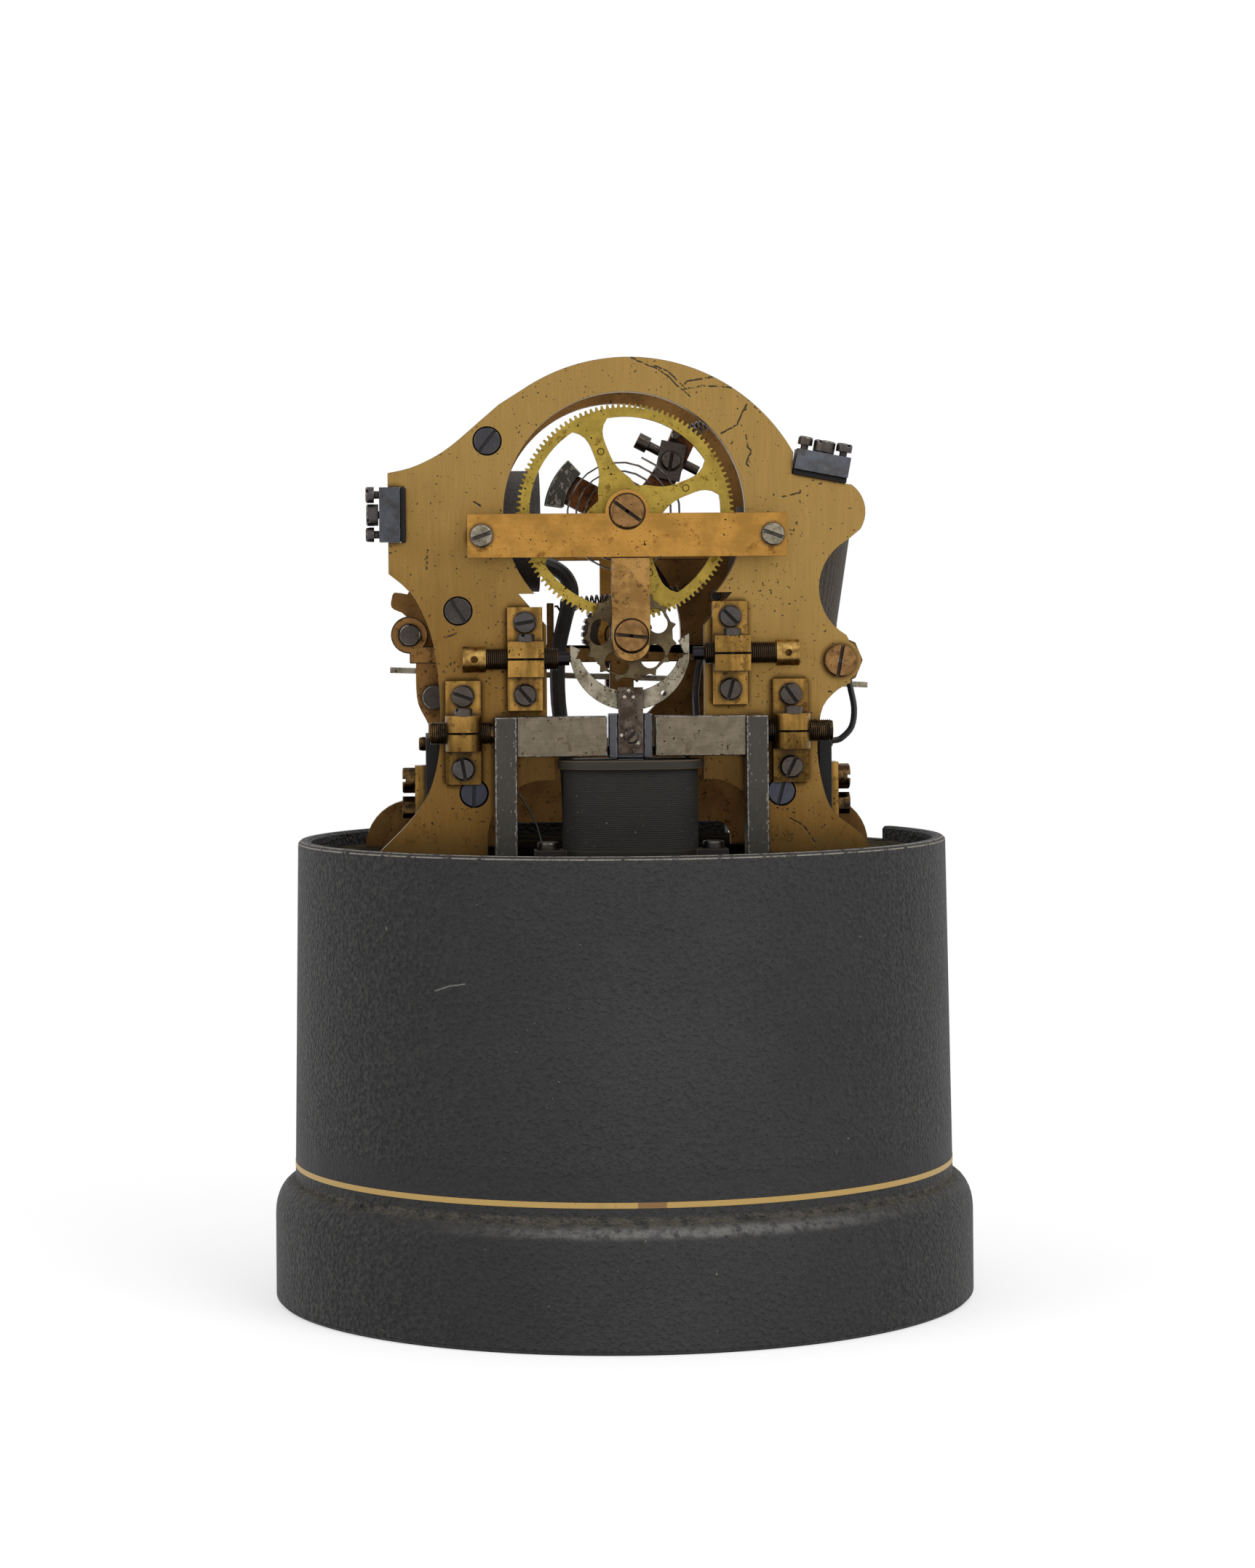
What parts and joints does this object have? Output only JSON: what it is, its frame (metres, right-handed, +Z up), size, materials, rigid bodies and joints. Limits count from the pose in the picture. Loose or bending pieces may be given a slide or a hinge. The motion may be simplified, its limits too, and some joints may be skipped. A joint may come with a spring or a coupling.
{
  "type": "stock ticker",
  "caption": "Self-winding tape printing telegraph: brass plate frame with escapement, magnets and levers on a round cast iron drum.",
  "frame": {"origin": "centre of the circle that the base stands on, on the table", "axes": "+X to the right seen from the escapement side, +Y from the escapement side to the printing side, +Z up"},
  "size_m": [0.203, 0.203, 0.2709],
  "materials": {
    "black_iron": "black lacquer, worn at the edges",
    "deck_iron": "dark lacquer, dusty",
    "plate_brass": "brushed and lacquered, stained",
    "dull_brass": "unpolished, browned",
    "bridge_brass": "polished",
    "wheel_brass": "polished",
    "screw_brass": "turned, coppery",
    "dark_brass": "browned",
    "blued_steel": "blued",
    "dark_steel": "dark, oiled",
    "grey_steel": "ground",
    "magnet_steel": "black, worn at the edges",
    "spring_steel": "tempered",
    "black_insulator": "hard rubber",
    "coil_wrap": "wrapped and varnished",
    "leather_wrap": "grained",
    "lead_insulation": "black sleeving",
    "ink_felt": "inked felt"
  },
  "bodies": {
    "frame": {"base_drum": "black_iron", "deck_plate": "deck_iron", "deck_screws": "dark_steel", "foot_screws": "dark_steel", "front_plate": "plate_brass", "back_plate": "dull_brass", "frame_pillars": "dull_brass", "pillar_screws": "blued_steel", "bridge_bar": "bridge_brass", "bridge_leg": "bridge_brass", "bridge_posts": "dull_brass", "rear_bridge": "dull_brass", "bridge_screws": "grey_steel", "wheel_bearing_screw": "screw_brass", "escape_bearing_screw": "screw_brass", "rear_bushes": "screw_brass", "stop_clamps": "plate_brass", "pole_clamps": "plate_brass", "clamp_screws": "dark_steel", "horseshoe_magnet": "magnet_steel", "pole_pieces": "grey_steel", "coil_bobbin": "black_insulator", "coil_winding": "coil_wrap", "fork_pivot_pin": "grey_steel", "winding_magnet_coil": "leather_wrap", "winding_magnet_core": "dark_steel", "press_magnet_coil": "coil_wrap", "press_magnet_core": "dark_steel", "binding_blocks": "blued_steel", "binding_insulators": "black_insulator", "binding_screws": "dark_steel", "terminal_strips": "black_insulator", "terminal_blocks": "plate_brass", "terminal_screws": "screw_brass", "lobe_screw": "screw_brass", "tape_guide": "grey_steel", "plate_studs": "dark_steel", "lever_springs": "spring_steel", "leads": "lead_insulation"},
    "wheel": {"great_wheel": "wheel_brass", "great_arbor": "grey_steel", "mainspring": "spring_steel"},
    "escape": {"escape_wheel": "dark_brass", "escape_arbor": "grey_steel", "type_wheels": "dark_steel"},
    "fork": {"pallet_fork": "grey_steel", "fork_strip": "dark_brass", "armature": "blued_steel"},
    "stop_left": {"stop_screw_left": "dark_brass"},
    "stop_right": {"stop_screw_right": "dark_brass"},
    "pole_left": {"pole_screw_left": "dark_brass"},
    "pole_right": {"pole_screw_right": "dark_brass"},
    "winding": {"winding_lever": "dark_brass", "winding_armature": "magnet_steel", "lever_fittings": "dark_steel"},
    "press": {"press_lever": "dark_steel"},
    "ink_arm": {"ink_arm": "dull_brass"},
    "ink_roller": {"ink_roller": "ink_felt"},
    "feed_roller": {"feed_roller": "dull_brass"},
    "pressure_roller": {"pressure_roller": "grey_steel"}
  },
  "joints": [
    {"name": "wheel_spin", "type": "hinge", "parent": "frame", "child": "wheel", "pos_m": [0, 0, 0.2265], "axis": [0, 1, 0], "continuous": true},
    {"name": "escape_spin", "type": "hinge", "parent": "frame", "child": "escape", "pos_m": [0.00098, 0, 0.19146], "axis": [0, 1, 0], "continuous": true},
    {"name": "fork_rock", "type": "hinge", "parent": "frame", "child": "fork", "pos_m": [0.00085, 0, 0.122], "axis": [0, 1, 0], "range_deg": [0, 0.6]},
    {"name": "stop_left_slide", "type": "slide", "parent": "frame", "child": "stop_left", "axis": [-1, 0, 0], "range_m": [0, 0.006]},
    {"name": "stop_right_slide", "type": "slide", "parent": "frame", "child": "stop_right", "axis": [1, 0, 0], "range_m": [0, 0.006]},
    {"name": "pole_left_slide", "type": "slide", "parent": "frame", "child": "pole_left", "axis": [-1, 0, 0], "range_m": [0, 0.006]},
    {"name": "pole_right_slide", "type": "slide", "parent": "frame", "child": "pole_right", "axis": [1, 0, 0], "range_m": [0, 0.006]},
    {"name": "winding_swing", "type": "hinge", "parent": "frame", "child": "winding", "pos_m": [0, 0, 0.2265], "axis": [0, 1, 0], "range_deg": [-3, 0]},
    {"name": "press_lift", "type": "hinge", "parent": "frame", "child": "press", "pos_m": [-0.06149, 0, 0.19187], "axis": [0, -1, 0], "range_deg": [0, 0.7]},
    {"name": "ink_arm_lift", "type": "hinge", "parent": "frame", "child": "ink_arm", "pos_m": [0.03003, 0, 0.20298], "axis": [0, 1, 0], "range_deg": [0, 25]},
    {"name": "ink_roller_spin", "type": "hinge", "parent": "ink_arm", "child": "ink_roller", "pos_m": [0.00993, 0, 0.20696], "axis": [0, 1, 0], "continuous": true},
    {"name": "feed_roller_spin", "type": "hinge", "parent": "frame", "child": "feed_roller", "pos_m": [0.04004, 0, 0.17041], "axis": [0, 1, 0], "continuous": true},
    {"name": "pressure_roller_spin", "type": "hinge", "parent": "frame", "child": "pressure_roller", "pos_m": [0.04004, 0, 0.18283], "axis": [0, 1, 0], "continuous": true}
  ],
  "couplings": [
    {"joint": "escape_spin", "follows": "wheel_spin", "ratio": -6.6667},
    {"joint": "pressure_roller_spin", "follows": "feed_roller_spin", "ratio": -1.4}
  ]
}
